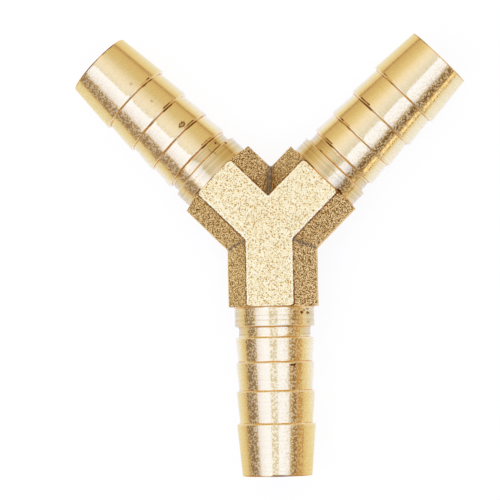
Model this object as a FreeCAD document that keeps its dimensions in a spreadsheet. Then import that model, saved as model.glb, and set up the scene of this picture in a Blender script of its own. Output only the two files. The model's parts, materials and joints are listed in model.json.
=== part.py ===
"""A Y-shaped brass nipple that joins three hoses.

Three arms of hexagonal section meet in a forged hub: two spread towards +Y and a stem
runs towards -Y. Each arm ends in a turned tail with a collar, a neck, four hose barbs
and a bore, and the three bores meet in the middle of the hub. The origin lies on the
hub's back face, straight below the point where the three axes meet.
"""

import FreeCAD
import Part
import Sketcher

import math
import os

NODE = "hose_nipple"

# Driving sizes in millimetres and degrees: name, value, what it is
SIZES = [
    ("spread_angle", 90, "angle between the axes of the two upper arms"),
    ("arm_reach", 9.6, "from the middle of the hub to the shoulder of each arm"),
    ("flank_angle", 30, "slope of the forged flanks from the forging direction"),
    ("hub_stand", 0.1, "how far the hub's flats stand above the collars"),
    ("land_height", 0.8, "height of the trimmed land on the parting plane, corner to corner"),
    ("land_round", 1.0, "radius between the land and the flanks"),
    ("crease_round", 0.35, "radius in the creases between the arms"),
    ("edge_round", 0.3, "radius on the long edges of the forging"),
    ("clip_depth", 0.2, "how deep turning clips the forging's corners at a shoulder"),
    ("clip_length", 0.5, "how far that clip runs along the arm"),
    ("collar_step", 0.05, "how far the collar stands above the barb crests"),
    ("collar_length", 2.6, "length of the plain collar"),
    ("collar_break", 0.15, "chamfer on the end of the collar, where it drops to the neck"),
    ("neck_depth", 0.45, "how far the neck lies below the barb crests"),
    ("neck_length", 1.2, "length of the neck between the collar and the first barb"),
    ("crest_dia", 10.0, "diameter over the barb crests, for a hose of 9 mm bore"),
    ("crest_break", 0.14, "chamfer that breaks the edge of each barb crest"),
    ("first_length", 3.1, "length of the barb nearest the hub"),
    ("first_drop", 0.3, "how far that barb falls away towards the mouth"),
    ("second_length", 3.7, "length of the second barb"),
    ("second_drop", 0.375, "how far it falls away"),
    ("third_length", 4.1, "length of the third barb"),
    ("third_drop", 0.4, "how far it falls away"),
    ("nose_length", 6.6, "length of the long barb at the mouth"),
    ("nose_drop", 0.6, "how far it falls away"),
    ("nose_break", 0.14, "chamfer that breaks the outer edge of the mouth"),
    ("mouth_wall", 0.9, "wall left at the mouth between the bore and the nose"),
    ("mouth_chamfer", 0.3, "chamfer on the inner edge of the mouth"),
]
BARBS = ["first", "second", "third", "nose"]

# Direction of each arm in the plane of the hub, in degrees from +X
ARMS = {
    "right": "90 - Sizes.spread_angle / 2",
    "left": "90 + Sizes.spread_angle / 2",
    "stem": "270",
}

# Sizes worked out from the driving ones
CREST = "Sizes.crest_dia / 2"
COLLAR = f"{CREST} + Sizes.collar_step"
NECK = f"{CREST} - Sizes.neck_depth"
HALF_HEIGHT = f"({COLLAR} + Sizes.hub_stand)"
FACE_HALF = f"{HALF_HEIGHT} * (1 - sin(Sizes.flank_angle)) / cos(Sizes.flank_angle)"
CORNER = f"sqrt(({FACE_HALF}) ^ 2 + {HALF_HEIGHT} ^ 2)"
LAND_HALF = "Sizes.land_height / 2"
LAND_REACH = f"({HALF_HEIGHT} - {LAND_HALF} * sin(Sizes.flank_angle)) / cos(Sizes.flank_angle)"
BORE = f"{CREST} - Sizes.nose_drop - Sizes.mouth_wall"

TOUCH = 1e-4


def make_sheet(doc):
    """The sheet of driving sizes, with the name, the value and a note on each row."""
    sheet = doc.addObject("Spreadsheet::Sheet", "Sizes")
    for row, (name, value, note) in enumerate(SIZES, start=1):
        sheet.set(f"A{row}", name)
        sheet.set(f"B{row}", str(value))
        sheet.set(f"C{row}", note)
        sheet.setAlias(f"B{row}", name)
    doc.recompute()
    return sheet


def attached_sketch(body, name, role, turn_axis, turn):
    """A sketch on one of the body's own planes, turned about turn_axis by an expression."""
    plane = next(p for p in body.Origin.OriginFeatures if p.Role == role)
    sketch = body.newObject("Sketcher::SketchObject", name)
    sketch.AttachmentSupport = (plane, [""])
    sketch.MapMode = "FlatFace"
    quarter = FreeCAD.Rotation(turn_axis, 90)
    sketch.AttachmentOffset = FreeCAD.Placement(FreeCAD.Vector(), quarter)
    sketch.setExpression("AttachmentOffset.Rotation.Angle", turn)
    return sketch


def add_loop(sketch, points):
    """Straight edges through the points and back to the first, joined end to end."""
    ends = points[1:] + points[:1]
    lines = [
        Part.LineSegment(FreeCAD.Vector(*a, 0), FreeCAD.Vector(*b, 0))
        for a, b in zip(points, ends)
    ]
    sketch.addGeometry(lines, False)
    for i in range(len(lines)):
        joined = (i + 1) % len(lines)
        sketch.addConstraint(Sketcher.Constraint("Coincident", i, 2, joined, 1))


def bind(sketch, kind, corner, value, expression):
    """Ties one coordinate of a corner of the loop to an expression."""
    index = sketch.addConstraint(Sketcher.Constraint(kind, corner, 1, value))
    sketch.setExpression(f"Constraints[{index}]", expression)


def outline_sketch(sheet, body, name, turn, corners):
    """A closed outline in the plane of the hub, for a turned shape about the arm's axis.

    Each corner is a pair of expressions: how far along the arm, and how far from its axis.
    """
    sketch = attached_sketch(body, name, "XY_Plane", FreeCAD.Vector(0, 0, 1), turn)
    points = [tuple(float(sheet.evalExpression(c)) for c in pair) for pair in corners]
    add_loop(sketch, points)
    for i, (along, away) in enumerate(corners):
        bind(sketch, "DistanceX", i, points[i][0], along)
        bind(sketch, "DistanceY", i, points[i][1], away)
    return sketch


def section_sketch(sheet, body, name, turn):
    """The hexagonal section of one arm of the hub, its two side corners cut to a land."""
    sketch = attached_sketch(body, name, "YZ_Plane", FreeCAD.Vector(0, 1, 0), turn)
    face, top, reach, land = (
        float(sheet.evalExpression(e))
        for e in (FACE_HALF, HALF_HEIGHT, LAND_REACH, LAND_HALF)
    )
    right = [(reach, land), (face, top)]
    left = [(-face, top), (-reach, land)]
    below = [(x, -y) for x, y in reversed(right + left)]
    add_loop(sketch, right + left + below)
    across, upright = -1, -2
    for one, other in ((0, 3), (1, 2), (7, 4), (6, 5)):
        sketch.addConstraint(Sketcher.Constraint("Symmetric", one, 1, other, 1, upright))
    for one, other in ((0, 7), (1, 6)):
        sketch.addConstraint(Sketcher.Constraint("Symmetric", one, 1, other, 1, across))
    bind(sketch, "DistanceX", 0, reach, LAND_REACH)
    bind(sketch, "DistanceY", 0, land, LAND_HALF)
    bind(sketch, "DistanceX", 1, face, FACE_HALF)
    bind(sketch, "DistanceY", 1, top, HALF_HEIGHT)
    for corner in (0, 3, 4, 7):
        sketch.fillet(corner, 1, sheet.land_round, True, True)
        arc = sketch.GeometryCount - 2
        index = sketch.addConstraint(Sketcher.Constraint("Radius", arc, sheet.land_round))
        sketch.setExpression(f"Constraints[{index}]", "Sizes.land_round")
    return sketch


def tail_corners():
    """Corners of half a tail's section, from the shoulder to the mouth and back on the axis."""
    along = "Sizes.arm_reach"
    corners = [(along, "0"), (along, COLLAR)]
    along += " + Sizes.collar_length"
    corners += [(along, COLLAR), (along, NECK)]
    along += " + Sizes.neck_length"
    corners += [(along, NECK)]
    for barb in BARBS:
        corners += [(along, CREST)]
        along += f" + Sizes.{barb}_length"
        corners += [(along, f"{CREST} - Sizes.{barb}_drop")]
    corners += [(along, "0")]
    return corners


def clip_corners():
    """Corners of the triangle that, turned about an arm's axis, clips the forging's corners."""
    shoulder = "Sizes.arm_reach"
    start = f"{shoulder} - Sizes.clip_length"
    return [(shoulder, f"{CORNER} - Sizes.clip_depth"), (shoulder, CORNER), (start, CORNER)]


def bore_corners():
    """Corners of half a bore's section, from the middle of the hub to the mouth."""
    mouth = tail_corners()[-1][0]
    return [("0", "0"), ("0", BORE), (mouth, BORE), (mouth, "0")]


def add_feature(doc, body, kind, name, **settings):
    """A feature of the body, computed at once so that the next one can read its shape."""
    feature = body.newObject(kind, name)
    for key, value in settings.items():
        setattr(feature, key, value)
    doc.recompute()
    return feature


def turned(doc, body, kind, name, profile):
    """A shape turned about the arm's axis, added by a Revolution or cut by a Groove."""
    axis = (profile, ["H_Axis"])
    return add_feature(doc, body, kind, name, Profile=profile, ReferenceAxis=axis, Angle=360)


def cut_turned(doc, sheet, body, name, turn, corners):
    """A Groove about an arm's axis, which has to take something away."""
    before = body.Tip.Shape.Volume
    profile = outline_sketch(sheet, body, f"{name}_section", turn, corners)
    groove = turned(doc, body, "PartDesign::Groove", name, profile)
    if groove.Shape.Volume > before - TOUCH:
        raise RuntimeError(f"{name} cuts nothing")


def dressed(doc, body, kind, name, wanted, size_name, expression):
    """A Fillet or Chamfer on every edge of the body so far for which wanted(edge) is true."""
    base = body.Tip
    edges = [f"Edge{i}" for i, edge in enumerate(base.Shape.Edges, start=1) if wanted(edge)]
    if not edges:
        raise RuntimeError(f"{name} finds no edge")
    feature = body.newObject(kind, name)
    feature.Base = (base, edges)
    feature.setExpression(size_name, expression)
    doc.recompute()
    return feature


def heading(degrees):
    """The unit vector in the plane of the hub that points at an angle from +X."""
    turn = math.radians(degrees)
    return FreeCAD.Vector(math.cos(turn), math.sin(turn), 0)


def build_hub(doc, sheet, body, turns):
    """The forged hub: three arms that meet in mitres, with rounded creases and edges."""
    for arm, turn in ARMS.items():
        section = section_sketch(sheet, body, f"{arm}_section", turn)
        pad = body.newObject("PartDesign::Pad", f"{arm}_arm")
        pad.Profile = section
        pad.setExpression("Length", "Sizes.arm_reach")
        doc.recompute()

    around = sorted(turns) + [min(turns) + 360]
    mitres = [heading((one + other) / 2) for one, other in zip(around, around[1:])]
    half_height = float(sheet.evalExpression(HALF_HEIGHT))
    ends = [heading(turn) for turn in turns]

    def on_mitre(edge):
        """Is this edge a crease between two arms?"""
        spots = [vertex.Point for vertex in edge.Vertexes] + [edge.CenterOfMass]
        return any(
            all(abs(p.cross(way).z) < TOUCH and p.dot(way) > TOUCH for p in spots)
            for way in mitres
        )

    def on_flat(edge):
        """Is this edge a long border of the hub's front or back flat?"""
        spots = [vertex.Point for vertex in edge.Vertexes]
        level = all(abs(abs(p.z) - half_height) < TOUCH for p in spots)
        at_end = any(all(abs(p.dot(way) - sheet.arm_reach) < TOUCH for p in spots) for way in ends)
        return level and not at_end

    fillet = "PartDesign::Fillet"
    dressed(doc, body, fillet, "creases", on_mitre, "Radius", "Sizes.crease_round")
    dressed(doc, body, fillet, "long_edges", on_flat, "Radius", "Sizes.edge_round")
    for arm, turn in ARMS.items():
        cut_turned(doc, sheet, body, f"{arm}_clip", turn, clip_corners())


def build_tails(doc, sheet, body):
    """The three turned tails and the bores that run from their mouths to the middle."""
    for arm, turn in ARMS.items():
        profile = outline_sketch(sheet, body, f"{arm}_tail_section", turn, tail_corners())
        turned(doc, body, "PartDesign::Revolution", f"{arm}_tail", profile)
    for arm, turn in ARMS.items():
        cut_turned(doc, sheet, body, f"{arm}_bore", turn, bore_corners())

    collar_end, collar = (float(sheet.evalExpression(e)) for e in tail_corners()[2])
    mouth, nose = (float(sheet.evalExpression(e)) for e in tail_corners()[-2])
    bore_radius = float(sheet.evalExpression(BORE))

    def is_circle(edge, radius, reach):
        """Is this edge a full turn of this radius, at this distance from the middle?"""
        if not isinstance(edge.Curve, Part.Circle) or abs(edge.Curve.Radius - radius) > TOUCH:
            return False
        return reach is None or abs(edge.Curve.Center.Length - reach) < TOUCH

    chamfer = "PartDesign::Chamfer"
    dressed(
        doc, body, chamfer, "collar_breaks",
        lambda edge: is_circle(edge, collar, collar_end),
        "Size", "Sizes.collar_break",
    )
    dressed(
        doc, body, chamfer, "crest_breaks",
        lambda edge: is_circle(edge, sheet.crest_dia / 2, None),
        "Size", "Sizes.crest_break",
    )
    dressed(
        doc, body, chamfer, "nose_breaks",
        lambda edge: is_circle(edge, nose, mouth),
        "Size", "Sizes.nose_break",
    )
    dressed(
        doc, body, chamfer, "mouth_chamfers",
        lambda edge: is_circle(edge, bore_radius, mouth),
        "Size", "Sizes.mouth_chamfer",
    )


def check(doc, body):
    """Stops the build where any object of the document failed or the solid isn't whole."""
    for item in doc.Objects:
        if {"Invalid", "Error"} & set(item.State):
            raise RuntimeError(f"{item.Label} is {item.State}")
    shape = body.Shape
    if shape.isNull() or not shape.isValid() or len(shape.Solids) != 1:
        raise RuntimeError(f"{body.Label} isn't one valid solid")


def main():
    doc = FreeCAD.newDocument("HoseNipple")
    sheet = make_sheet(doc)
    body = doc.addObject("PartDesign::Body", NODE)
    body.Label = NODE
    turns = [float(sheet.evalExpression(turn)) for turn in ARMS.values()]
    build_hub(doc, sheet, body, turns)
    build_tails(doc, sheet, body)
    body.setExpression("Placement.Base.z", HALF_HEIGHT)
    doc.recompute()
    check(doc, body)
    os.makedirs("parts", exist_ok=True)
    body.Shape.exportStep(f"parts/{body.Label}.step")
    box = body.Shape.BoundBox
    print(f"{body.Label}: {box.XLength:.2f} x {box.YLength:.2f} x {box.ZLength:.2f} mm,")
    print(f"volume {body.Shape.Volume:.2f} mm3, {len(body.Shape.Faces)} faces")


main()
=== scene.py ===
"""The looks of a Y-shaped brass hose nipple: a blasted forging with three turned, barbed tails.

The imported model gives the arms, their height, their reach and their bores. One closed skin is
laid over it, dressed as forged and as turned brass, and a plain studio is set up round it.
"""

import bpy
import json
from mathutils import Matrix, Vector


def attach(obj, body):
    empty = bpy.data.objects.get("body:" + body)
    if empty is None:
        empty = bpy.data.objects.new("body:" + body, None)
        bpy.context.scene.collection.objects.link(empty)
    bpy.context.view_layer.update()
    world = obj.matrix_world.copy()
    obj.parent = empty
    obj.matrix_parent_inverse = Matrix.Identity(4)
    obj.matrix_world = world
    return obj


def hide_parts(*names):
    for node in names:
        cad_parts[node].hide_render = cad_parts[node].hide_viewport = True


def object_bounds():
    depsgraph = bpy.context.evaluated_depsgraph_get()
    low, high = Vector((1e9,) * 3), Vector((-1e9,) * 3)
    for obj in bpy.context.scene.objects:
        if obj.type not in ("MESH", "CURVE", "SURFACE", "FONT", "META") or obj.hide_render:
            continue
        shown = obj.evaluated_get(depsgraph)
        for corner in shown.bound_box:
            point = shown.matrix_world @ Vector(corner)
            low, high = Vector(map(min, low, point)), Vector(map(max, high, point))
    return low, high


bl_info = {
    "name": "Hose Nipple",
    "version": (1, 0, 0),
    "blender": (4, 5, 0),
    "location": "View3D > Sidebar > Nipple",
    "description": "Builds a forged and turned brass Y hose nipple in a plain studio",
    "category": "Add Mesh",
}

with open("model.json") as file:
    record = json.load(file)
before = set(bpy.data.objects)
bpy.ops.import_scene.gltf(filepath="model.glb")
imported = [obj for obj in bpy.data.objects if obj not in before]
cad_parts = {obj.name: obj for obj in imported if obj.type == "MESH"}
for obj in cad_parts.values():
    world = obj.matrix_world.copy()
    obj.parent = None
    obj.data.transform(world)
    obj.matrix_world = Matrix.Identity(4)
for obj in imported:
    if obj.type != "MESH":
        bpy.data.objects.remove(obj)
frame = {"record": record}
cad_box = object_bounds()

import json
import math

import bmesh
import bpy
import numpy as np
from bpy.props import FloatProperty, FloatVectorProperty, PointerProperty
from mathutils import Matrix, Vector

NODE = "hose_nipple"
BODY = "root"
MM = 0.001
TINY = 1e-9

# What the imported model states: the arms, the axes' height, the collars, the bores, the mouths
mounts = {mount["name"]: mount for mount in frame["record"]["mounts"]}
stem_tail = mounts["stem_tail"]
AXIS_HEIGHT = stem_tail["pos_m"][2]
COLLAR_RADIUS = stem_tail["dims"]["r_mm"] * MM
ARM_REACH = -stem_tail["pos_m"][1] - stem_tail["dims"]["length_mm"] * MM / 2
BORE_RADIUS = mounts["stem_bore"]["dims"]["r_mm"] * MM
MOUTH_REACH = -cad_box[0][1]
ARMS = {arm: np.array(mounts[f"{arm}_tail"]["axis"]) for arm in ("right", "left", "stem")}
UPRIGHT = np.array([0.0, 0.0, 1.0])

# Each tail was turned in a chucking of its own: how far its shoulder, its collar's end and its
# barbs lie from their drawn places along the arm, in millimetres
TURNED_OFF = {"right": (-0.21, -0.56, -0.43), "left": (0.04, -0.1, -0.04), "stem": (0.0, 0.0, 0.06)}
# The forging lies this far off the point where the tails' axes meet
FORGED_OFF = np.array([-0.08 * MM, 0.05 * MM, 0.0])

# Knocks and stains on the tails: the arm, how far along it in millimetres, the angle round it
# from the top, half the length along it and round it in millimetres, how dark it is and how much
# brighter its middle is
WORN = [
    ("left", 17.23, math.radians(-22.3), 0.36, 0.55, 1.0, 0.5),
    ("left", 12.65, math.radians(-43.2), 0.16, 0.16, 1.0, 0.0),
    ("left", 11.77, math.radians(-52.8), 0.25, 0.2, 0.8, 0.0),
    ("left", 12.0, math.radians(-25.9), 0.8, 0.12, 0.4, 0.0),
    ("left", 25.45, math.radians(-13.8), 0.25, 0.2, 0.3, 0.0),
    ("left", 22.04, math.radians(-17.3), 0.2, 0.15, 0.4, 0.0),
    ("left", 30.85, math.radians(10.0), 0.16, 1.8, 0.9, 0.0),
    ("left", 9.8, math.radians(34.0), 0.25, 0.5, 0.7, 0.0),
    ("right", 9.5, math.radians(-36.0), 0.2, 0.7, 1.0, 0.0),
    ("stem", 30.85, math.radians(8.0), 0.14, 1.3, 0.8, 0.0),
    ("stem", 16.95, math.radians(31.0), 0.16, 0.5, 1.0, 0.0),
    ("stem", 10.36, math.radians(48.0), 0.18, 0.3, 1.0, 0.0),
    ("stem", 10.1, math.radians(52.0), 0.12, 0.25, 0.8, 0.0),
    ("stem", 10.45, math.radians(61.0), 0.16, 0.35, 1.0, 0.0),
    ("stem", 9.95, math.radians(60.0), 0.12, 0.4, 0.7, 0.0),
    ("stem", 11.6, math.radians(62.0), 0.1, 0.3, 0.6, 0.0),
]

# How far off a tail's axis the knocks and stains are centred, how far they reach from there, how
# ragged the specks make them, and where their edges and their brighter middles fade, in sizes of
# the oval
WORN_RADIUS = 4.85 * MM
WORN_REACH = 2 * MM
RAGGEDNESS = 1.2
WORN_EDGE = (1.4, 1.75)
WORN_MIDDLE = (0.95, 1.25)

# How finely the skin is divided
SECTION_COLUMNS = 49
HUB_ROWS = 46
CREASE_ROWS = 12
SHOULDER_ROWS = 4
BORE_ROWS = 9
EASE_STEPS = 5
# How much closer together the columns are at the border of a flat and at the land, how far round
# from there, and from how many angles they are chosen
CORNER_COLUMNS = (7.0, 3.0)
CORNER_ANGLES = (0.035, 0.09)
FINE_ANGLES = 2000
# The waves of the forged skin, in radians per metre, and by what angle the shifts along the three
# axes differ
SWELL_WAVES = np.array([[1900.0, 700.0, 1100.0], [-800.0, 1500.0, 900.0], [500.0, -1200.0, 2100.0]])
SWELL_TURNS = (0.0, 1.7, 3.9)
# How much wider than the crease's round its rows of fine faces are
CREASE_MARGIN = 1.2
# How dark the painted shade is on the flanks that face each other across a right angle
FACING_SHADE = 0.35
# The rounds on the corners of the mouth's chamfer
CHAMFER_EASE = 0.05 * MM
# Points nearer than this are one, and an edge sharper than this stays sharp
WELD_GAP = 0.001 * MM
SHARP_ANGLE = math.radians(35)

# What each vertex of the skin carries for the finishes; the crease mark is how strong the painted
# shade of the creases is there
MARKS = ("tail_run", "steep", "crease")
# In each span below, two numbers are the values between which a mark of the surface fades in, and
# two more how strong it is at them, where that isn't 0 and 1
# How steep the skin is where it takes the flanks' colour, from 0 on a flat to 0.866 on a flank;
# that darker colour is partly the flanks' own skin and partly painted shade
FLANK = (0.1, 0.8)
# How steep it is where a flat's pale border, a painted highlight, and the dark line beside it rise
# and fall, and how strong the border is
BORDER = ((0.0, 0.06), (0.3, 0.5), 0.9)
BORDER_LINE = ((0.45, 0.6), (0.84, 0.866))
# How deep in a crease its painted shade and its broken line of painted shade show
CREASE = (0.0, 1.0, 0.0, 0.85)
CREASE_LINE_SHADE = (0.4, 0.75, 0.0, 0.7)
# Where the noise that makes the grains has pits and bright grains; the pits' colour is partly oxide
# and partly painted shade, and the bright grains are painted highlights
PITS = (0.31, 0.46)
BRIGHT_GRAINS = (0.5, 0.62)
# How a noise breaks the dark line beside the borders and the line of painted shade in the creases,
# and how many grains long its cells are
DASHES = (0.4, 0.6, 0.25, 1.0)
DASH_GRAINS = 6
# Where the noise of the specks dulls the bright brass and the matt one, and how much of the
# specks the matt skin takes away
SPECKS = (0.49, 0.55)
MATT_GRAINS = (0.38, 0.62, 0.1, 0.28)
SPECKS_LOST = 0.65
# Where the noise of the rings has grooves and dull streaks, how it varies the tarnish and painted
# shade, and how far past the collars the rings and past the necks the tarnish and painted shade fade
GROOVES = (0.34, 0.46, 0.4, 0.0)
STREAKS = (0.56, 0.72)
RINGS_OF_TARNISH_AND_SHADE = (0.35, 0.65, 0.7, 0.35)
RINGS_FADE = 0.5 * MM
TARNISH_AND_SHADE_FADE = 0.3 * MM
# How the noise of the patches sets the width and strength of the painted step shade, and where it
# is darkest
STEP_SHADE_WIDTHS = (0.35, 0.7, 0.6, 1.3)
STEP_SHADE_STRENGTHS = (0.35, 0.55, 0.35, 1.0)
DARKEST_STEP_SHADE = (0.62, 0.8)
# How far into the notch the matt skin sets in and the forging's rim fades; that fade is painted
# shade
MATT = (-2.5 * MM, 0.0)
RIM_FADE = (0.0, 2 * MM, 0.8, 0.15)
# The band across the upper tails in which the painted step shade is thicker and lines the crests
# too, there as a painted dark reflection: where it rises and falls, how much thicker it is there,
# how much narrower on the crests than at the feet, and how far off it is put elsewhere, so that it
# doesn't show
BAND = ((1.2 * MM, 2.6 * MM), (4.6 * MM, 5.2 * MM))
BAND_GAIN = 0.27
CREST_NARROWING = 1.3
OFF_BAND = 2 * MM
# How high above the tails' axes the tarnish and painted shade of the collars and necks end
TARNISH_AND_SHADE_TOP = (2.2 * MM, 3.6 * MM)

# What the surroundings look like from the fitting, from the horizon (0) to straight above (1)
BACKDROP_TONES = [
    (0.0, (0.73, 0.57, 0.35)), (0.3, (0.80, 0.67, 0.42)), (0.6, (0.87, 0.78, 0.55)),
    (0.85, (1.03, 1.02, 1.1)), (1.0, (1.02, 1.1, 1.46)),
]
LEFT_TONES = [
    (0.0, (0.35, 0.26, 0.21)), (0.3, (0.32, 0.24, 0.2)), (0.48, (0.39, 0.31, 0.24)),
    (0.62, (0.7, 0.59, 0.38)), (0.75, (0.8, 0.77, 0.68)), (1.0, (0.86, 0.90, 1.03)),
]
RIGHT_TONES = [
    (0.0, (0.72, 0.52, 0.27)), (0.17, (0.62, 0.37, 0.16)), (0.31, (0.62, 0.41, 0.22)),
    (0.42, (0.28, 0.19, 0.14)), (0.56, (0.5, 0.37, 0.2)), (0.65, (0.68, 0.55, 0.34)),
    (0.75, (0.84, 0.81, 0.68)), (1.0, (0.86, 0.90, 1.03)),
]
# The floor's colour in reflections, from under the fitting (0) to the distance of its fade (1)
FLOOR_TONES = [
    (0.2, (1.02, 1.12, 1.5)), (0.27, (0.97, 1.0, 1.02)), (0.34, (0.93, 0.87, 0.66)),
    (0.46, (0.9, 0.79, 0.52)), (0.57, (0.78, 0.62, 0.4)), (0.66, (0.58, 0.42, 0.25)),
]
FLOOR_FADE = 100 * MM
# Beside the fitting the floor stays bright for longer: how far aside that starts and from which
# middle, how much further off it starts towards the front, and how much of the fade it undoes
BRIGHT_SIDE = 24 * MM
BRIGHT_MIDDLE = -5 * MM
BRIGHT_SLANT = 0.45
BRIGHT_GAIN = 0.85
# How much later it fades towards the back, and sooner towards the front
BACK_GAIN = 0.06
# How far below the fitting's back face the floor lies, and half its width
FLOOR_GAP = 0.01 * MM
FLOOR_HALF = 2.0
# How much of what the camera sees of the floor is its own white
FLOOR_WHITE = 0.8
# The direction of a pale card, low at the front right, how closely a direction has to agree with
# it to meet the card, as the cosine of the angle between them, and the card's colour
CARD = (0.84, -0.54, 0.0)
CARD_SPAN = (0.97, 0.99)
CARD_COLOUR = (1.35, 1.22, 0.9)
# Where the backdrop is low, how much its low corners lose there, and what it gains at the left
# and loses at the right
LOW = (0.25, 0.6, 1.0, 0.0)
CORNER_LOSS = (0.66, 0.8, 0.08, 0.0)
BACKDROP_LEAN = (-0.3, 0.3, 0.05, -0.07)
# How bright the two sides are towards the front, where the left gives way to the right, and where
# both give way to the backdrop
LEFT_FRONT = (-0.4, -0.2, 1.18, 1.0)
RIGHT_FRONT = (-0.5, -0.3, 0.65, 1.0)
LEFT_TO_RIGHT = (0.0, 0.4)
SIDES_TO_BACKDROP = (-0.05, 0.4)
# Each lamp spans these slopes from the fitting, left, right, front and back, before it is turned
# by the last angle
LAMPS = {
    "left_lamp": (-1.29, -0.2, -0.8, 0.16, 0.0),
    "right_lamp": (0.17, 0.97, -0.8, 0.12, math.radians(-16)),
}
# The width of the camera's sensor in millimetres
SENSOR_WIDTH = 36.0


def length(name, description, default):
    """A length of the skin, in metres."""
    return FloatProperty(
        name=name, description=description, default=default, unit="LENGTH", subtype="DISTANCE"
    )


def angle(name, description, default):
    """An angle, in radians."""
    return FloatProperty(
        name=name, description=description, default=default, unit="ROTATION", subtype="ANGLE"
    )


def spot(name, description, default):
    """A place in space, in metres."""
    return FloatVectorProperty(
        name=name, description=description, default=default, unit="LENGTH", subtype="TRANSLATION"
    )


def tint(name, description, default):
    """A colour of a finish or of the studio, as scene linear red, green and blue."""
    return FloatVectorProperty(
        name=name, description=description, default=default, subtype="COLOR",
        size=3, min=0.0, soft_max=1.0,
    )


def share(name, description, default):
    """A plain number, mostly a share of 1."""
    return FloatProperty(name=name, description=description, default=default)


class NippleShape(bpy.types.PropertyGroup):
    """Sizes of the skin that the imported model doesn't state."""

    flank_angle: angle("Flank angle", "Slope of the flanks from the forging direction", math.radians(30))
    land_height: length("Land", "Height of the trimmed land between the flanks", 0.8 * MM)
    land_ease: length("Land ease", "Where the round between land and flank starts", 0.27 * MM)
    edge_ease: length("Edge ease", "Where the round on the flat's border starts", 0.2 * MM)
    crease_round: length("Crease", "Radius in the creases between the arms", 0.35 * MM)
    # The crease shade is painted shade: a darker colour in the notch and along the creases
    crease_shade: length("Crease shade", "How wide the dark band in the notch is", 0.9 * MM)
    waviness: length("Waviness", "How far the forged skin swells and dips", 0.02 * MM)
    clip_depth: length("Clip depth", "How deep turning clips the forging's corners", 0.2 * MM)
    clip_length: length("Clip length", "How far that clip runs along the arm", 0.32 * MM)
    shoulder_bevel: length("Bevel", "Break on the shoulder's outer edge", 0.04 * MM)
    collar_foot: length("Collar foot", "Round at the foot of the collar", 0.05 * MM)
    foot_ease: length("Foot", "Round at the foot of each step of the tail", 0.12 * MM)
    collar_length: length("Collar", "Length of the plain collar", 2.5 * MM)
    collar_break: length("Collar break", "Break on the collar's end", 0.15 * MM)
    neck_length: length("Neck", "Length of the neck behind the first barb", 1.3 * MM)
    neck_depth: length("Neck depth", "Depth of the neck below the crests", 0.45 * MM)
    crest_radius: length("Crest radius", "Radius of the barb crests", 5.0 * MM)
    crest_ease: length("Crest ease", "Round on the barb crests", 0.2 * MM)
    first_length: length("First barb", "Length of the barb nearest the hub", 3.1 * MM)
    first_drop: length("First drop", "How far it falls away", 0.3 * MM)
    second_length: length("Second barb", "Length of the second barb", 3.65 * MM)
    second_drop: length("Second drop", "How far it falls away", 0.375 * MM)
    third_length: length("Third barb", "Length of the third barb", 4.13 * MM)
    third_drop: length("Third drop", "How far it falls away", 0.4 * MM)
    nose_drop: length("Nose drop", "How far the barb at the mouth falls away", 0.6 * MM)
    mouth_break: length("Mouth break", "Break on the outer edge of the mouth", 0.12 * MM)
    mouth_chamfer: length("Mouth chamfer", "Chamfer on the mouth's inner edge", 0.3 * MM)
    row_gap: length("Row gap", "Widest gap between two rows of a tail", 0.42 * MM)


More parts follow.
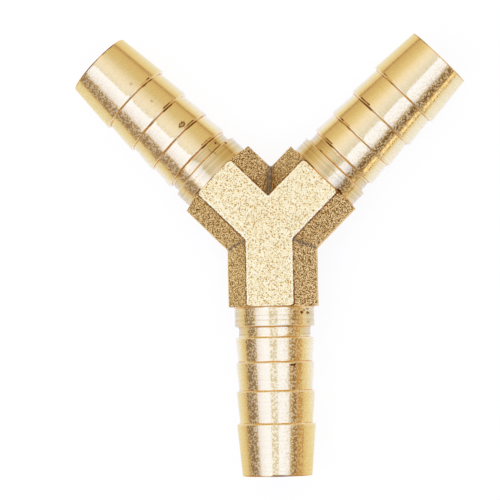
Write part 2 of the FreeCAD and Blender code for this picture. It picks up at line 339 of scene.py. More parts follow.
class NippleFinish(bpy.types.PropertyGroup):
    """Colours and texture sizes of the two brass finishes."""

    turned_colour: tint("Turned brass", "Colour of the turned brass", (0.84, 0.67, 0.36))
    turned_roughness: share("Turned roughness", "Roughness of the turned brass", 0.095)
    dull_roughness: share("Dull roughness", "Roughness of its dull specks and rings", 0.42)
    dull_colour: tint("Dull specks", "Colour of its dull specks and rings", (0.97, 0.83, 0.50))
    speck: length("Speck", "Size of the dull specks", 0.26 * MM)
    ring_pitch: length("Ring pitch", "Distance between the tool's rings", 0.3 * MM)
    ring_height: length("Ring height", "Height of the rings on the collars", 0.009 * MM)
    barb_rings: share("Barb rings", "Strength of the rings on the barbs, as a share", 0.15)
    # Besides the grooves, this colour is the collars' and necks' tarnish and painted shade
    groove_tarnish_and_shade_colour: tint("Grooves", "Colour down between the rings", (0.58, 0.39, 0.14))
    # The step shade is painted shade at the feet of the steps, the collars' feet and the mouths
    step_shade_colour: tint("Residue", "Colour at the feet of the steps", (0.84, 0.47, 0.15))
    # Colour of the knocks and stains, and of the darkest painted step shade
    stain_colour: tint("Stain", "Colour where the residue is thickest", (0.25, 0.09, 0.025))
    # The width and the patches below belong to the painted step shade
    step_shade_width: length("Residue width", "How far it reaches from a foot", 0.15 * MM)
    patch: length("Patches", "Size of the thick and thin stretches of residue", 1.8 * MM)
    forged_colour: tint("Forged brass", "Colour of the blasted flats", (1.0, 0.84, 0.43))
    # The pits' colours are partly oxide and partly painted shade
    pit_colour: tint("Pits", "Colour in the pits of the flats", (0.55, 0.285, 0.055))
    # The flanks' darker colours are partly their own skin and partly painted shade
    flank_colour: tint("Flanks", "Colour of the blasted flanks", (0.88, 0.51, 0.16))
    flank_pit_colour: tint("Flank pits", "Colour in the pits of the flanks", (0.10, 0.04, 0.01))
    # The flanks' bright grains are painted highlights; this colour is also the forging's specular tint
    peak_colour: tint("Flank peaks", "Colour of the flanks' bright grains", (1.0, 0.81, 0.47))
    flank_pits: share("More flank pits", "How many more pits the flanks have", 0.09)
    rim_colour: tint("Rim", "Colour of the trimmed rim between the flanks", (0.88, 0.64, 0.30))
    rim_width: length("Rim width", "How far the trimmed rim reaches up a flank", 0.45 * MM)
    border_colour: tint("Border", "Dirt just outside the borders of the flats", (0.24, 0.09, 0.03))
    # The flats' pale borders and bright grains are painted highlights
    edge_colour: tint("Edge", "Colour of the flats' borders and bright grains", (1.0, 0.91, 0.58))
    # Painted shade beside the bottom of the creases
    crease_colour: tint("Creases", "Colour beside the bottom of the creases", (0.30, 0.25, 0.22))
    # Painted shade: a broken dark line along the bottom of a crease
    crease_line_shade_colour: tint("Dirt", "Broken line of dirt along the bottom of a crease", (0.17, 0.15, 0.14))
    edge_roughness: share("Edge roughness", "Roughness of the flats' rounded borders", 0.2)
    forged_roughness: share("Forged roughness", "Roughness of the blasted brass", 0.34)
    grain: length("Grain", "Size of the grains left by blasting", 0.165 * MM)
    grain_height: length("Grain height", "Height of those grains", 0.12 * MM)


class NippleStudio(bpy.types.PropertyGroup):
    """The camera, the lamps and the surroundings."""

    camera_place: spot(
        "Camera", "Where the camera stands", (33.2 * MM, -16.0 * MM, AXIS_HEIGHT + 400.0 * MM)
    )
    camera_target: spot(
        "Target", "The point in the middle of the picture", (-2.946 * MM, -2.308 * MM, AXIS_HEIGHT)
    )
    camera_roll: angle("Roll", "Turn of the camera about its line of sight", -0.0197)
    focal_length: share("Focal length", "In millimetres on a sensor 36 mm wide", 227.84)
    lamp_height: length("Lamp height", "Height of the two lamps above the fitting", 500 * MM)
    lamp_colour: tint("Lamp colour", "Daylight colour of the lamps", (0.22, 0.36, 1.0))
    lamp_glow: share("Lamp glow", "Radiance of the lamps' faces", 1.45)
    floor_colour: tint("Floor", "Colour of the floor", (0.8, 0.8, 0.79))
    floor_glow: share("Floor glow", "Radiance that keeps the floor white", 1.1)


def eased_path(corners, cuts):
    """The path through the corners, with each inner corner eased by a parabola.

    The parabola starts and ends one cut away from its corner c, at a and b, and its points are
    (1 - t)^2 a + 2 t (1 - t) c + t^2 b for t from 0 to 1.
    """
    ways = np.diff(corners, axis=0)
    ways /= np.linalg.norm(ways, axis=1, keepdims=True)
    middle = corners[1:-1, None, :]
    before = middle - (ways[:-1] * cuts[:, None])[:, None, :]
    after = middle + (ways[1:] * cuts[:, None])[:, None, :]
    t = np.linspace(0, 1, EASE_STEPS)[None, :, None]
    curves = (1 - t) ** 2 * before + 2 * t * (1 - t) * middle + t**2 * after
    return np.vstack([corners[:1], curves.reshape(-1, 2), corners[-1:]])


def runs(path):
    """How far each point of a path lies from its first, along the path."""
    spans = np.linalg.norm(np.diff(path, axis=0), axis=1)
    return np.concatenate([[0.0], np.cumsum(spans)])


def refined(path, gap):
    """The same path with points added evenly, so that no two are further apart than gap."""
    spans = np.linalg.norm(np.diff(path, axis=0), axis=1)
    parts = np.maximum(np.ceil(spans / gap), 1).astype(int)
    starts = np.repeat(np.arange(len(spans)), parts)
    steps = np.arange(parts.sum()) - np.repeat(np.cumsum(parts) - parts, parts)
    places = np.append(starts + steps / parts[starts], len(spans))
    whole = np.arange(len(path))
    return np.stack([np.interp(places, whole, path[:, i]) for i in range(2)], axis=-1)


def hub_section(shape):
    """Half the hub's section as arrays over its columns, from the top round to the bottom.

    The columns are polar angles about the arm's axis. They lie closer together where the
    outline turns: their density is 1 plus a bell curve at each rounded corner. Returns the
    angle, the half width, the height, the outward normal and the flank's slope per column.
    """
    lean = math.tan(shape.flank_angle)
    face = AXIS_HEIGHT * (1 - math.sin(shape.flank_angle)) / math.cos(shape.flank_angle)
    land = shape.land_height / 2
    reach = face + (AXIS_HEIGHT - land) * lean
    corners = np.array([(0, AXIS_HEIGHT), (face, AXIS_HEIGHT), (reach, land), (reach, 0)])
    outline = eased_path(corners, np.array([shape.edge_ease, shape.land_ease]))
    outline = refined(outline, shape.edge_ease / 4)
    around = np.arctan2(outline[:, 0], outline[:, 1])

    turns = np.arctan2(corners[1:3, 0], corners[1:3, 1])
    fine = np.linspace(0, math.pi / 2, FINE_ANGLES)
    bells = np.exp(-(((fine[:, None] - turns) / np.array(CORNER_ANGLES)) ** 2))
    weight = np.cumsum(1 + bells @ np.array(CORNER_COLUMNS))
    weight = (weight - weight[0]) / (weight[-1] - weight[0])
    quarter = np.interp(np.linspace(0, 1, SECTION_COLUMNS), weight, fine)

    width = np.interp(quarter, around, outline[:, 0])
    height = np.interp(quarter, around, outline[:, 1])
    across = np.gradient(width, quarter)
    down = -np.gradient(height, quarter)
    size = np.hypot(across, down)
    slope = np.minimum(across / np.maximum(down, TINY), lean)
    normal = np.stack([down / size, across / size])

    def mirrored(values, sign):
        return np.concatenate([values, sign * values[-2::-1]])

    angles = np.concatenate([quarter, math.pi - quarter[-2::-1]])
    return {
        "angle": angles,
        "width": mirrored(width, 1) * (np.sin(angles) > TINY),
        "height": mirrored(height, -1),
        "aside": mirrored(normal[0], 1),
        "upward": mirrored(normal[1], -1),
        "slope": mirrored(slope, 1),
        "face": face,
    }


def crease_rows(section, mitre, reach, radius):
    """Rows of one side of an arm's hub: distances along the arm and aside from its axis.

    n is the distance from the mitre plane, and m the distance from the middle along it. The
    flanks of two arms at half width w meet at m = w / sin(mitre), and m grows by n cot(mitre).
    Inside the crease an ellipse replaces that corner: a circle of the crease's radius, seen in
    a level cut, is stretched by sqrt(1 + (slope / sin(mitre))^2). Across the flat the radius
    shrinks to nothing in the middle. The last row lies at reach along the arm.
    """
    sine, cosine = math.sin(mitre), math.cos(mitre)
    width = section["width"]
    part = np.minimum(width / section["face"], 1)
    bend = radius * part
    stretch = np.sqrt(1 + (section["slope"] / sine) ** 2)
    slant = np.arctan(stretch * math.tan(mitre))
    zone = bend * np.cos(slant)
    end = reach * sine - width * cosine
    near = part * CREASE_MARGIN * zone + (1 - part) * end * CREASE_ROWS / HUB_ROWS
    inner = np.linspace(0, 1, CREASE_ROWS + 1)[:, None] * near
    outer = near + np.linspace(0, 1, HUB_ROWS - CREASE_ROWS + 1)[1:, None] * (end - near)
    n = np.vstack([inner, outer])
    dome = stretch * (bend / np.sin(slant) - np.sqrt(np.maximum(bend**2 - n**2, 0)))
    m = width / sine + np.where(n < zone, dome, n * cosine / sine)
    return m * cosine + n * sine, m * sine - n * cosine, n


def tail_path(shape):
    """Half a tail's outline, from the collar's foot to the bore: along the arm, off its axis.

    Returned with it are how far each point lies from the first along the outline, and the same
    for the feet of the steps, for the barb crests and for the outer edge of the mouth.
    """
    crest = shape.crest_radius
    at = ARM_REACH
    points = [(at + shape.collar_foot, COLLAR_RADIUS, 0.0)]
    at += shape.collar_length
    points += [(at, COLLAR_RADIUS, shape.collar_break)]
    points += [(at, crest - shape.neck_depth, shape.foot_ease)]
    at += shape.neck_length
    points += [(at, crest - shape.neck_depth, shape.foot_ease)]
    barbs = [
        (shape.first_length, shape.first_drop),
        (shape.second_length, shape.second_drop),
        (shape.third_length, shape.third_drop),
    ]
    for barb_length, drop in barbs:
        points += [(at, crest, shape.crest_ease)]
        at += barb_length
        points += [(at, crest - drop, shape.foot_ease)]
    points += [
        (at, crest, shape.crest_ease),
        (MOUTH_REACH, crest - shape.nose_drop, shape.mouth_break),
        (MOUTH_REACH, BORE_RADIUS + shape.mouth_chamfer, CHAMFER_EASE),
        (MOUTH_REACH - shape.mouth_chamfer, BORE_RADIUS, CHAMFER_EASE),
        (MOUTH_REACH - 2 * shape.mouth_chamfer, BORE_RADIUS, 0.0),
    ]
    table = np.array(points)
    outline = eased_path(table[:, :2], table[1:-1, 2])
    path = refined(outline, shape.row_gap)
    corner_runs = runs(outline)[1 + EASE_STEPS // 2:-1:EASE_STEPS]
    feet = corner_runs[table[1:-1, 2] == shape.foot_ease]
    crests = corner_runs[table[1:-1, 2] == shape.crest_ease]
    return path, runs(path), feet, crests, corner_runs[-3]


def hub_rows(shape, section, mitre, reach, clip):
    """The rows over the hub, from the mitre plane to the shoulder's edge.

    The openness of a crease is the tangent of the mitre's angle, 1 where two arms meet at a
    right angle. From 1 at the crease the shade falls by the distance from the mitre plane times
    the openness over the shade's width, down to the facing shade over the openness cubed.
    """
    end = reach - shape.shoulder_bevel - clip * shape.clip_length / shape.clip_depth
    along, aside, off_mitre = crease_rows(section, mitre, end, shape.crease_round)
    none = 0 * along
    steep = section["aside"] + none
    openness = math.tan(mitre)
    shade = 1 - off_mitre / shape.crease_shade * openness
    shade = np.clip(shade, FACING_SHADE / openness**3, 1) * steep
    return along, aside, section["height"] + none, none - 1, steep, shade


def shoulder_rows(shape, section, ring, reach, clip):
    """The rows down the shoulder, evenly from its bevelled and clipped edge to the collar's foot."""
    outline = np.stack([section["width"], section["height"]])
    outward = np.stack([section["aside"], section["upward"]])
    kept = 1 - clip / np.hypot(*outline)
    rim = kept * outline - shape.shoulder_bevel * outward
    rim[0, [0, -1]] = 0.0
    inward = np.linspace(0, 1, SHOULDER_ROWS)[:, None, None]
    places = (1 - inward) * rim + inward * ring * (COLLAR_RADIUS + shape.collar_foot)
    none = 0 * places[:, 0]
    run = (inward[:, 0] - 1) * MM + none
    return reach + none, places[:, 0], places[:, 1], run, 1 + none, none


def tail_rows(shape, ring, offsets):
    """The rows along the tail and round its mouth: the outline turned about the arm's axis.

    The outline is moved along the arm by the offsets at the shoulder, at the collar's end and at
    the first barb and beyond it, and evenly in between.
    """
    path, run, *_ = tail_path(shape)
    steps = ARM_REACH + np.cumsum([0.0, shape.collar_length, shape.neck_length])
    along = path[:, 0] + np.interp(path[:, 0], steps, offsets)
    radius = path[:, 1][:, None]
    none = 0 * radius * ring[0]
    return along[:, None] + none, radius * ring[0], radius * ring[1], run[:, None] + none, none, none


def bore_rows(ring, mitre, mouth, run):
    """The rows back through the bore to the mitre plane, where the walls of two bores meet.

    A wall's point at the distance w aside meets the other bore's at w / tan(mitre) along the arm.
    """
    aside, up = BORE_RADIUS * ring
    back = np.linspace(0, 1, BORE_ROWS)[1:, None]
    along = mouth + back * (aside / math.tan(mitre) - mouth)
    none = 0 * along
    return along, aside + none, up + none, run + none, none, none


def side_grid(shape, section, mitre, offsets):
    """One side of one arm as arrays of rows and columns, and how many rows the hub takes.

    The arrays are the distance along the arm, aside from it and up, the run along the tail's
    outline, how steep the forging's skin is, and how strong the painted shade of its creases is.
    The four functions above return them for their own rows. The run is 0 at the collar's foot,
    goes down to -1 mm across the shoulder and is -1 m on the hub.

    Turning has clipped the forging's corners at the shoulder with a cone: its depth at a column
    is how far the column lies outside the clip's radius.
    """
    offsets = np.array(offsets) * MM
    reach = ARM_REACH + offsets[0]
    corner = math.hypot(section["face"], AXIS_HEIGHT)
    off_axis = np.hypot(section["width"], section["height"])
    clip = np.maximum(off_axis - corner + shape.clip_depth, 0)
    ring = np.stack([np.sin(section["angle"]), np.cos(section["angle"])])
    ring[0, [0, -1]] = 0.0
    hub = hub_rows(shape, section, mitre, reach, clip)
    shoulder = shoulder_rows(shape, section, ring, reach, clip)
    tail = tail_rows(shape, ring, offsets)
    bore = bore_rows(ring, mitre, tail[0][-1, 0], tail[3][-1, 0])
    return [np.vstack(rows) for rows in zip(hub, shoulder, tail, bore)], len(hub[0])


def swell(points):
    """A smooth field of small shifts, each part the mean of three sine waves about 3 mm long."""
    phases = points @ SWELL_WAVES.T
    turned = np.stack([phases + turn for turn in SWELL_TURNS], axis=-1)
    return np.sin(turned).sum(axis=-2) / len(SWELL_WAVES)


def nipple_mesh(shape):
    """The whole skin: six sides of arms on grids, joined where they meet, as one closed mesh.

    A grid's point lies along its arm, aside from it and up from the axes' height. The hub's are
    moved by the swell of the forged skin too, and none lies below the back face.
    """
    section = hub_section(shape)
    arms = list(ARMS.items())
    vertices, faces, forged, marks = [], [], [], []
    count = 0
    for number, (arm, way) in enumerate(arms):
        left = np.cross(UPRIGHT, way)
        for side in (1, -1):
            other = arms[(number + side) % len(arms)][1]
            mitre = math.acos(float(way @ other)) / 2
            grid, of_hub = side_grid(shape, section, mitre, TURNED_OFF[arm])
            along, aside, up, *marked = grid
            rows, columns = along.shape
            places = along[..., None] * way + side * aside[..., None] * left + up[..., None] * UPRIGHT
            hub = places[:of_hub + 1]
            hub += shape.waviness * swell(hub) + FORGED_OFF
            places += AXIS_HEIGHT * UPRIGHT
            places[..., 2] = np.maximum(places[..., 2], 0.0)
            vertices.append(places.reshape(-1, 3))
            marks.append(np.stack(marked).reshape(len(MARKS), -1))
            index = np.arange(rows * columns).reshape(rows, columns) + count
            corners = [index[:-1, :-1], index[1:, :-1], index[1:, 1:], index[:-1, 1:]]
            faces.append(np.stack(corners[::side], axis=-1).reshape(-1, 4))
            forged.append(np.repeat(np.arange(rows - 1) < of_hub, columns - 1))
            count += rows * columns

    mesh = bpy.data.meshes.new(NODE)
    mesh.from_pydata(np.vstack(vertices), [], np.vstack(faces))
    for name, values in zip(MARKS, np.hstack(marks).astype(np.float32)):
        mesh.attributes.new(name, "FLOAT", "POINT").data.foreach_set("value", values)
    mesh.polygons.foreach_set("material_index", (~np.concatenate(forged)).astype(np.int32))
    weld(mesh)
    return mesh


def weld(mesh):
    """Joins the grids along their common borders, and stops if the skin isn't closed."""
    work = bmesh.new()
    work.from_mesh(mesh)
    bmesh.ops.remove_doubles(work, verts=work.verts, dist=WELD_GAP)
    open_edges = sum(not edge.is_manifold for edge in work.edges)
    volume = work.calc_volume(signed=True)
    work.to_mesh(mesh)
    work.free()
    if open_edges or volume <= 0:
        raise RuntimeError(f"the skin has {open_edges} open edges and a volume of {volume}")
    mesh.shade_smooth()
    mesh.set_sharp_from_angle(angle=SHARP_ANGLE)


def put(tree, kind, inputs=None, **settings):
    """A shader node with its settings, and its inputs set to values or linked to sockets."""
    node = tree.nodes.new(kind)
    for name, value in settings.items():
        setattr(node, name, value)
    for name, value in (inputs or {}).items():
        if isinstance(value, bpy.types.NodeSocket):
            tree.links.new(value, node.inputs[name])
        else:
            node.inputs[name].default_value = value
    return node


def calc(tree, operation, *values):
    """The result of a Math node on sockets or numbers."""
    return put(tree, "ShaderNodeMath", dict(enumerate(values)), operation=operation).outputs[0]


def ranged(tree, value, low, high, to_low=0.0, to_high=1.0):
    """A value carried smoothly from one range to another, and held at its ends."""
    inputs = {"Value": value, "From Min": low, "From Max": high, "To Min": to_low, "To Max": to_high}
    return put(tree, "ShaderNodeMapRange", inputs, interpolation_type="SMOOTHSTEP").outputs[0]


def hill(tree, value, rise, fall, top=1.0):
    """A value that climbs from 0 to the top over the span rise, and drops to 0 over the fall."""
    return calc(tree, "MULTIPLY", ranged(tree, value, *rise), ranged(tree, value, *fall, top, 0.0))


def scaled(tree, colour, factor):
    """A colour times a number."""
    inputs = {0: colour, "Scale": factor}
    return put(tree, "ShaderNodeVectorMath", inputs, operation="SCALE").outputs[0]


def split(tree, place):
    """The X, Y and Z of a place or a direction."""
    return put(tree, "ShaderNodeSeparateXYZ", {0: place}).outputs


def into_notch(tree, parts):
    """How far a place lies into the notch between the upper arms: Y less the size of X."""
    return calc(tree, "SUBTRACT", parts["Y"], calc(tree, "ABSOLUTE", parts["X"]))


def blend_colour(tree, factor, first, second):
    """A mix of two colours, each a socket or a colour.

    The node's inputs 0, 6 and 7 are its factor and its two colours, and its output 2 the mix.
    """
    node = put(tree, "ShaderNodeMix", data_type="RGBA")
    sockets = [node.inputs[number] for number in (0, 6, 7)]
    for socket, value in zip(sockets, (factor, first, second)):
        if isinstance(value, bpy.types.NodeSocket):
            tree.links.new(value, socket)
        elif socket.type == "RGBA":
            socket.default_value = (*value, 1.0)
        else:
            socket.default_value = value
    return node.outputs[2]


def blend_shader(tree, factor, first, second):
    """A mix of two shaders."""
    inputs = {0: factor, 1: first.outputs[0], 2: second.outputs[0]}
    return put(tree, "ShaderNodeMixShader", inputs)


def tone_ramp(tree, value, stops):
    """A colour ramp through the stops, each a place from 0 to 1 and a colour."""
    node = put(tree, "ShaderNodeValToRGB", {0: value})
    ramp = node.color_ramp
    for _ in stops[2:]:
        ramp.elements.new(0.5)
    for element, (place, colour) in zip(ramp.elements, stops):
        element.position = place
        element.color = (*colour, 1.0)
    return node.outputs[0]


def new_material(name):
    """An empty node material and its output."""
    material = bpy.data.materials.new(name)
    material.use_nodes = True
    tree = material.node_tree
    tree.nodes.clear()
    return material, tree, put(tree, "ShaderNodeOutputMaterial")


def finish_metal(tree, output, bump, inputs):
    """Lead a metal with this bump and these inputs to the material's output."""
    normal = put(tree, "ShaderNodeBump", bump).outputs[0]
    inputs = {"Metallic": 1.0, "Normal": normal, **inputs}
    shader = put(tree, "ShaderNodeBsdfPrincipled", inputs)
    tree.links.new(shader.outputs[0], output.inputs[0])


def noise(tree, place, size, detail=1.0):
    """Smooth noise whose cells have this size, from about 0.2 to 0.8."""
    inputs = {"Vector": place, "Scale": 1 / size, "Detail": detail}
    return put(tree, "ShaderNodeTexNoise", inputs).outputs[0]


def mark(tree, name):
    """What the skin's vertices carry under this name."""
    return put(tree, "ShaderNodeAttribute", attribute_name=name).outputs["Fac"]


def grained(tree, finish, steep, shade, grains):
    """The colour of the blasted skin, from its pits over its plain skin to its bright grains."""
    flank = ranged(tree, steep, *FLANK)
    # The flanks' darker colours are partly their own skin and partly painted shade
    plain = blend_colour(tree, flank, finish.forged_colour, finish.flank_colour)
    pit = blend_colour(tree, flank, finish.pit_colour, finish.flank_pit_colour)
    peak = blend_colour(tree, flank, finish.edge_colour, finish.peak_colour)
    # Painted shade: the creases take a darker colour towards their bottoms
    crease = ranged(tree, shade, *CREASE)
    colour = blend_colour(tree, crease, plain, finish.crease_colour)
    # The pits' dark colour is partly oxide and partly painted shade
    height = calc(tree, "MULTIPLY_ADD", flank, -finish.flank_pits, grains)
    colour = blend_colour(tree, ranged(tree, height, *PITS), pit, colour)
    # The bright grains are painted highlights, which the creases' painted shade takes away
    bright = ranged(tree, grains, *BRIGHT_GRAINS)
    bright = calc(tree, "MULTIPLY", bright, calc(tree, "SUBTRACT", 1.0, crease))
    return blend_colour(tree, bright, colour, peak)


def trimmed_rim(tree, finish, shape, parts):
    """How much of the trimmed rim's colour shows: it fades up the flanks and into the notch."""
    off_middle = calc(tree, "ABSOLUTE", calc(tree, "SUBTRACT", parts["Z"], AXIS_HEIGHT))
    land = shape.land_height / 2
    rim = ranged(tree, off_middle, land, land + finish.rim_width, 1.0, 0.0)
    # The rim's fade into the notch is painted shade
    return calc(tree, "MULTIPLY", rim, ranged(tree, into_notch(tree, parts), *RIM_FADE))


def forged_brass(finish, shape):
    """Blasted forging: pale flats with fine pits, browner and coarser flanks, dark creases.

    One noise makes the grains: where it is low lie the pits, their colour partly oxide and
    partly painted shade, where it is high the bright grains, painted highlights, whose colour
    the whole skin takes when it is seen edge on. The flanks' darker colour is partly their own
    skin and partly painted shade, and the creases' colour is painted shade. The rounded borders
    of the flats are smoother than the rest and carry a pale painted highlight; a broken dark line
    runs beside them, and a broken line of painted shade along the bottom of the creases.
    """
    material, tree, output = new_material("forged_brass")
    place = put(tree, "ShaderNodeTexCoord").outputs["Object"]
    steep, shade = mark(tree, "steep"), mark(tree, "crease")
    grains = noise(tree, place, finish.grain)
    colour = grained(tree, finish, steep, shade, grains)
    rim = trimmed_rim(tree, finish, shape, split(tree, place))
    colour = blend_colour(tree, rim, colour, finish.rim_colour)

    # The flats' rounded borders carry a pale painted highlight, and are smoother
    border = hill(tree, steep, *BORDER)
    colour = blend_colour(tree, border, colour, finish.edge_colour)
    dashes = ranged(tree, noise(tree, place, DASH_GRAINS * finish.grain), *DASHES)
    # A broken dark line just outside the flats' borders
    line = calc(tree, "MULTIPLY", hill(tree, steep, *BORDER_LINE), dashes)
    colour = blend_colour(tree, line, colour, finish.border_colour)
    # Painted shade: a broken dark line along the bottom of the creases
    painted_shade = calc(tree, "MULTIPLY", ranged(tree, shade, *CREASE_LINE_SHADE), dashes)
    colour = blend_colour(tree, painted_shade, colour, finish.crease_line_shade_colour)
    roughness = ranged(tree, border, 0.0, 1.0, finish.forged_roughness, finish.edge_roughness)

    bump = {"Height": grains, "Distance": finish.grain_height}
    finish_metal(tree, output, bump, {
        "Base Color": colour, "Roughness": roughness, "Specular Tint": (*finish.peak_colour, 1.0),
    })
    return material


def nearest(tree, run, places):
    """How far a point lies from the nearest of these places along the outline, at most 1 m."""
    gap = 1.0
    for place in places:
        here = calc(tree, "ABSOLUTE", calc(tree, "SUBTRACT", run, place))
        gap = calc(tree, "MINIMUM", gap, here)
    return gap


def worn(tree, place, specks):
    """How stained each point is by the knocks and stains: a ragged oval round each one.

    A knock with a bright middle is the oval less a smaller one.
    """
    total = 0.0
    for arm, along, off_top, half_along, half_around, depth, middle in WORN:
        way = ARMS[arm]
        out = math.sin(off_top) * np.cross(UPRIGHT, way) + math.cos(off_top) * UPRIGHT
        turned_to_spot = Matrix((way, np.cross(out, way), out)).transposed()
        local = put(tree, "ShaderNodeMapping", {
            "Vector": place,
            "Location": along * MM * way + WORN_RADIUS * out + AXIS_HEIGHT * UPRIGHT,
            "Rotation": turned_to_spot.to_euler(),
            "Scale": (half_along * MM, half_around * MM, WORN_REACH),
        }, vector_type="TEXTURE")
        away = put(tree, "ShaderNodeVectorMath", {0: local.outputs[0]}, operation="LENGTH")
        ragged = calc(tree, "MULTIPLY_ADD", specks, RAGGEDNESS, away.outputs["Value"])
        stain = ranged(tree, ragged, *WORN_EDGE, depth, 0.0)
        if middle:
            stain = calc(tree, "SUBTRACT", stain, ranged(tree, ragged, *WORN_MIDDLE, middle, 0.0))
        total = calc(tree, "MAXIMUM", total, stain)
    return total


def tool_rings(tree, finish, shape, run):
    """The rings left by the tool, as a noise along the run, and how strong they are.

    They are full on the collar and weak on the barbs.
    """
    turns = calc(tree, "DIVIDE", run, finish.ring_pitch)
    rings = put(tree, "ShaderNodeTexNoise", {"W": turns, "Scale": 1.0, "Detail": 1.0},
                noise_dimensions="1D").outputs[0]
    end = shape.collar_length
    return rings, ranged(tree, run, end, end + RINGS_FADE, 1.0, finish.barb_rings)


def dullness(tree, rings, strength, specks, matt):
    """How dull the brass is: by specks, which give way to a matt skin, and by streaks."""
    specked = calc(tree, "MULTIPLY_ADD", matt, -SPECKS_LOST, 1.0)
    specked = calc(tree, "MULTIPLY", specked, ranged(tree, specks, *SPECKS))
    matt = calc(tree, "MULTIPLY", matt, ranged(tree, specks, *MATT_GRAINS))
    streaks = calc(tree, "MULTIPLY", strength, ranged(tree, rings, *STREAKS))
    return calc(tree, "MAXIMUM", calc(tree, "MAXIMUM", specked, matt), streaks)


def tarnish_and_shade(tree, shape, run, high, rings, matt):
    """Tarnish and painted shade on collars and necks: low on their sides and where they are matt."""
    end = shape.collar_length + shape.neck_length
    near_hub = ranged(tree, run, end, end + TARNISH_AND_SHADE_FADE, 1.0, 0.0)
    lowest, highest = TARNISH_AND_SHADE_TOP
    low = ranged(tree, high, AXIS_HEIGHT + lowest, AXIS_HEIGHT + highest, 1.0, 0.0)
    spread = calc(tree, "MULTIPLY", calc(tree, "MAXIMUM", matt, low), near_hub)
    return calc(tree, "MULTIPLY", spread, ranged(tree, rings, *RINGS_OF_TARNISH_AND_SHADE))


def step_shade_marks(tree, finish, shape, run, inside, patches):
    """How strong the painted step shade shows, and how strong it is where it is darkest.

    It lies at the collars' feet, the feet of the steps and the mouths, and is wider and stronger
    where the noise of the patches is high. In the band it is thicker, and lines the crests too as a
    painted dark reflection.
    """
    *_, feet, crests, mouth = tail_path(shape)
    band = hill(tree, inside, *BAND)
    off_crest = nearest(tree, run, crests + shape.crest_ease)
    off_crest = calc(tree, "MULTIPLY", off_crest, CREST_NARROWING)
    off_crest = calc(tree, "ADD", off_crest, calc(tree, "MULTIPLY_ADD", band, -OFF_BAND, OFF_BAND))
    gap = calc(tree, "MINIMUM", off_crest, nearest(tree, run, [0.0, *feet, mouth]))
    gap = calc(tree, "DIVIDE", gap, ranged(tree, patches, *STEP_SHADE_WIDTHS))
    thickness = ranged(tree, gap, finish.step_shade_width / 2, finish.step_shade_width, 1.0, 0.0)
    patches = calc(tree, "MULTIPLY_ADD", band, BAND_GAIN, patches)
    painted_step_shade = calc(tree, "MULTIPLY", thickness, ranged(tree, patches, *STEP_SHADE_STRENGTHS))
    return painted_step_shade, calc(tree, "MULTIPLY", thickness, ranged(tree, patches, *DARKEST_STEP_SHADE))


def turned_brass(finish, shape):
    """Turned brass: rings left by the tool, dull specks, painted shade at the feet of the steps.

    The rings are strongest on the collars. Where the upper tails face the notch the brass is
    evenly matt, with fewer specks. The collars and the necks are tarnished, and darkened by painted
    shade low on their sides and towards the notch, and knocks and stains lie on top.
    """
    material, tree, output = new_material("turned_brass")
    place = put(tree, "ShaderNodeTexCoord").outputs["Object"]
    parts = split(tree, place)
    inside = into_notch(tree, parts)
    run = mark(tree, "tail_run")
    specks = noise(tree, place, finish.speck)
    rings, strength = tool_rings(tree, finish, shape, run)
    matt = ranged(tree, inside, *MATT)
    dull = dullness(tree, rings, strength, specks, matt)
    grooves_tarnish_and_shade = calc(tree, "MULTIPLY", strength, ranged(tree, rings, *GROOVES))
    # Tarnish, and painted shade low on the sides and towards the notch
    grooves_tarnish_and_shade = calc(tree, "MAXIMUM", grooves_tarnish_and_shade, tarnish_and_shade(tree, shape, run, parts["Z"], rings, matt))
    colour = blend_colour(tree, dull, finish.turned_colour, finish.dull_colour)
    colour = blend_colour(tree, grooves_tarnish_and_shade, colour, finish.groove_tarnish_and_shade_colour)

    patches = noise(tree, place, finish.patch, detail=2.0)
    painted_step_shade, stain = step_shade_marks(tree, finish, shape, run, inside, patches)
    # Painted shade at the feet of the steps, and a painted dark reflection along the crests in the band
    colour = blend_colour(tree, painted_step_shade, colour, finish.step_shade_colour)
    # The knocks and stains are real wear; the darkest painted step shade joins them here
    stain = calc(tree, "MAXIMUM", stain, worn(tree, place, specks))
    colour = blend_colour(tree, stain, colour, finish.stain_colour)

    roughness = ranged(tree, calc(tree, "MAXIMUM", dull, painted_step_shade), 0.0, 1.0,
                       finish.turned_roughness, finish.dull_roughness)
    bump = {"Strength": strength, "Height": rings, "Distance": finish.ring_height}
    finish_metal(tree, output, bump, {"Base Color": colour, "Roughness": roughness})
    return material


def floor_glow(tree):
    """The floor's colour in reflections: its tones over how far it has faded at each place."""
    place = put(tree, "ShaderNodeTexCoord").outputs["Object"]
    parts = split(tree, place)
    far = put(tree, "ShaderNodeVectorMath", {0: place}, operation="LENGTH").outputs["Value"]
    aside = calc(tree, "ABSOLUTE", calc(tree, "SUBTRACT", parts["X"], BRIGHT_MIDDLE))
    front = calc(tree, "MINIMUM", parts["Y"], 0.0)
    aside = calc(tree, "MULTIPLY_ADD", front, BRIGHT_SLANT, aside)
    bright = calc(tree, "MAXIMUM", calc(tree, "SUBTRACT", aside, BRIGHT_SIDE), 0.0)
    far = calc(tree, "MULTIPLY_ADD", bright, -BRIGHT_GAIN, far)
    far = calc(tree, "MULTIPLY_ADD", parts["Y"], -BACK_GAIN, far)
    return tone_ramp(tree, calc(tree, "DIVIDE", far, FLOOR_FADE), FLOOR_TONES)


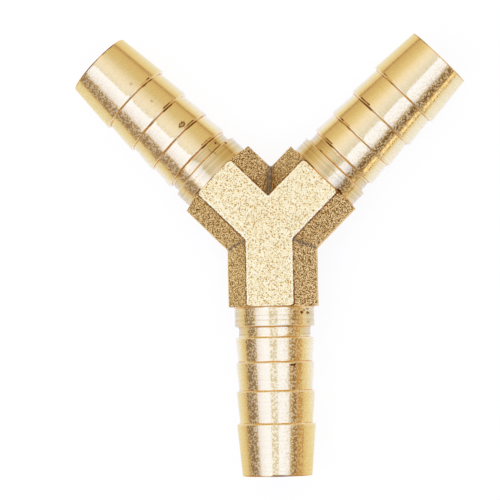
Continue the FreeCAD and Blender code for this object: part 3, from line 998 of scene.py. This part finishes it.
def floor_paper(studio):
    """Pale paper that keeps a soft shadow, is near white to the camera and glows in reflections."""
    material, tree, output = new_material("floor_paper")
    path = put(tree, "ShaderNodeLightPath").outputs
    paper = put(tree, "ShaderNodeBsdfDiffuse", {"Color": (*studio.floor_colour, 1.0)})
    white = put(tree, "ShaderNodeEmission", {"Strength": studio.floor_glow})
    glow = put(tree, "ShaderNodeEmission", {"Color": floor_glow(tree), "Strength": 1.0})
    seen = blend_shader(tree, FLOOR_WHITE, paper, white)
    direct = blend_shader(tree, path["Is Camera Ray"], paper, seen)
    whole = blend_shader(tree, path["Is Glossy Ray"], direct, glow)
    tree.links.new(whole.outputs[0], output.inputs[0])
    return material


def add_object(name, data):
    """A new object of the scene that shows this data."""
    thing = bpy.data.objects.new(name, data)
    bpy.context.scene.collection.objects.link(thing)
    return thing


def add_floor(studio):
    """A wide square of paper just under the fitting's back face."""
    corners = np.array([(-1, -1), (1, -1), (1, 1), (-1, 1)]) * FLOOR_HALF
    level = np.full((4, 1), -FLOOR_GAP)
    mesh = bpy.data.meshes.new("floor")
    mesh.from_pydata(np.hstack([corners, level]), [], [(0, 1, 2, 3)])
    mesh.materials.append(floor_paper(studio))
    floor = add_object("floor", mesh)


def add_lamp(studio, name, left, right, near, far, turn):
    """A softbox that spans these slopes from the fitting, then is turned about its middle.

    A slope times the lamps' height is a place at that height.
    """
    high = studio.lamp_height
    data = bpy.data.lights.new(name, "AREA")
    data.shape = "RECTANGLE"
    data.size = (right - left) * high
    data.size_y = (far - near) * high
    data.energy = studio.lamp_glow * math.pi * data.size * data.size_y
    data.color = studio.lamp_colour
    lamp = add_object(name, data)
    lamp.location = ((left + right) / 2 * high, (near + far) / 2 * high, high + AXIS_HEIGHT)
    lamp.rotation_euler.z = turn
    lamp.visible_camera = False


def surroundings(tree):
    """The colour seen from the fitting in each direction.

    A backdrop stands behind it, a little brighter to the left and darker in its low corners. The
    sides are dim. The left one is brighter and the right one darker at the front, where a pale
    card stands low at the right.
    """
    way = put(tree, "ShaderNodeTexCoord").outputs["Generated"]
    parts = split(tree, way)
    low = ranged(tree, parts["Z"], *LOW)
    corner = calc(tree, "MULTIPLY", low, ranged(tree, parts["Y"], *CORNER_LOSS))
    lean = ranged(tree, parts["X"], *BACKDROP_LEAN)
    lean = calc(tree, "MULTIPLY", lean, calc(tree, "SUBTRACT", 1.0, low))
    kept = calc(tree, "SUBTRACT", calc(tree, "ADD", lean, 1.0), corner)
    backdrop = scaled(tree, tone_ramp(tree, parts["Z"], BACKDROP_TONES), kept)

    left = tone_ramp(tree, parts["Z"], LEFT_TONES)
    left = scaled(tree, left, ranged(tree, parts["Y"], *LEFT_FRONT))
    right = tone_ramp(tree, parts["Z"], RIGHT_TONES)
    right = scaled(tree, right, ranged(tree, parts["Y"], *RIGHT_FRONT))
    sides = blend_colour(tree, ranged(tree, parts["X"], *LEFT_TO_RIGHT), left, right)
    card = put(tree, "ShaderNodeVectorMath", {0: way, 1: CARD}, operation="DOT_PRODUCT")
    card = ranged(tree, card.outputs["Value"], *CARD_SPAN)
    sides = blend_colour(tree, card, sides, CARD_COLOUR)
    return blend_colour(tree, ranged(tree, parts["Y"], *SIDES_TO_BACKDROP), sides, backdrop)


def set_world():
    """Surroundings that light the fitting and are mirrored in it, and are white to the camera."""
    world = bpy.data.worlds.new("studio")
    bpy.context.scene.world = world
    world.use_nodes = True
    tree = world.node_tree
    tree.nodes.clear()
    camera_ray = put(tree, "ShaderNodeLightPath").outputs["Is Camera Ray"]
    around = put(tree, "ShaderNodeBackground", {"Color": surroundings(tree), "Strength": 1.0})
    white = put(tree, "ShaderNodeBackground", {"Color": (1, 1, 1, 1), "Strength": 1.0})
    whole = blend_shader(tree, camera_ray, around, white)
    put(tree, "ShaderNodeOutputWorld", {0: whole.outputs[0]})


def add_camera(studio):
    """The camera, with its long lens, turned about its own line of sight by the roll."""
    place = Vector(studio.camera_place)
    ahead = (Vector(studio.camera_target) - place).normalized()
    right = ahead.cross(Vector((0, 1, 0))).normalized()
    up = right.cross(ahead)
    level = Matrix((right, up, -ahead)).transposed()
    turn = Matrix.Rotation(studio.camera_roll, 3, "Z")
    data = bpy.data.cameras.new("camera")
    data.sensor_width = SENSOR_WIDTH
    data.lens = studio.focal_length
    camera = add_object("camera", data)
    camera.matrix_world = Matrix.Translation(place) @ (level @ turn).to_4x4()
    bpy.context.scene.camera = camera


class NIPPLE_OT_fitting(bpy.types.Operator):
    """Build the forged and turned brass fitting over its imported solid"""

    bl_idname = "nipple.fitting"
    bl_label = "Build the fitting"

    def execute(self, context):
        shape = context.scene.nipple_shape
        finish = context.scene.nipple_finish
        mesh = nipple_mesh(shape)
        mesh.materials.append(forged_brass(finish, shape))
        mesh.materials.append(turned_brass(finish, shape))
        skin = add_object("nipple_skin", mesh)
        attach(skin, BODY)
        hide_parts(NODE)
        return {"FINISHED"}


class NIPPLE_OT_studio(bpy.types.Operator):
    """Set up the floor, the lamps, the surroundings and the camera"""

    bl_idname = "nipple.studio"
    bl_label = "Set up the studio"

    def execute(self, context):
        studio = context.scene.nipple_studio
        add_floor(studio)
        for name, span in LAMPS.items():
            add_lamp(studio, name, *span)
        set_world()
        add_camera(studio)
        context.scene.view_settings.view_transform = "Standard"
        return {"FINISHED"}


class NIPPLE_PT_panel(bpy.types.Panel):
    """Lists the operators and the values that they use"""

    bl_label = "Hose nipple"
    bl_idname = "NIPPLE_PT_panel"
    bl_space_type = "VIEW_3D"
    bl_region_type = "UI"
    bl_category = "Nipple"

    def draw(self, context):
        for operator in OPERATORS:
            self.layout.operator(operator.bl_idname)
        for name, group in GROUPS.items():
            column = self.layout.column(align=True)
            for key in group.__annotations__:
                column.prop(getattr(context.scene, name), key)


GROUPS = {"nipple_shape": NippleShape, "nipple_finish": NippleFinish, "nipple_studio": NippleStudio}
OPERATORS = [NIPPLE_OT_fitting, NIPPLE_OT_studio]
CLASSES = [*GROUPS.values(), *OPERATORS, NIPPLE_PT_panel]


def register():
    """Register the classes and hang the groups of values on the scene."""
    for item in CLASSES:
        bpy.utils.register_class(item)
    for name, group in GROUPS.items():
        setattr(bpy.types.Scene, name, PointerProperty(type=group))


def unregister():
    """Undo register, in the opposite order."""
    for name in GROUPS:
        delattr(bpy.types.Scene, name)
    for item in reversed(CLASSES):
        bpy.utils.unregister_class(item)


def main():
    """Build the fitting and the studio."""
    register()
    bpy.ops.nipple.fitting()
    bpy.ops.nipple.studio()


if __name__ == "__main__":
    main()
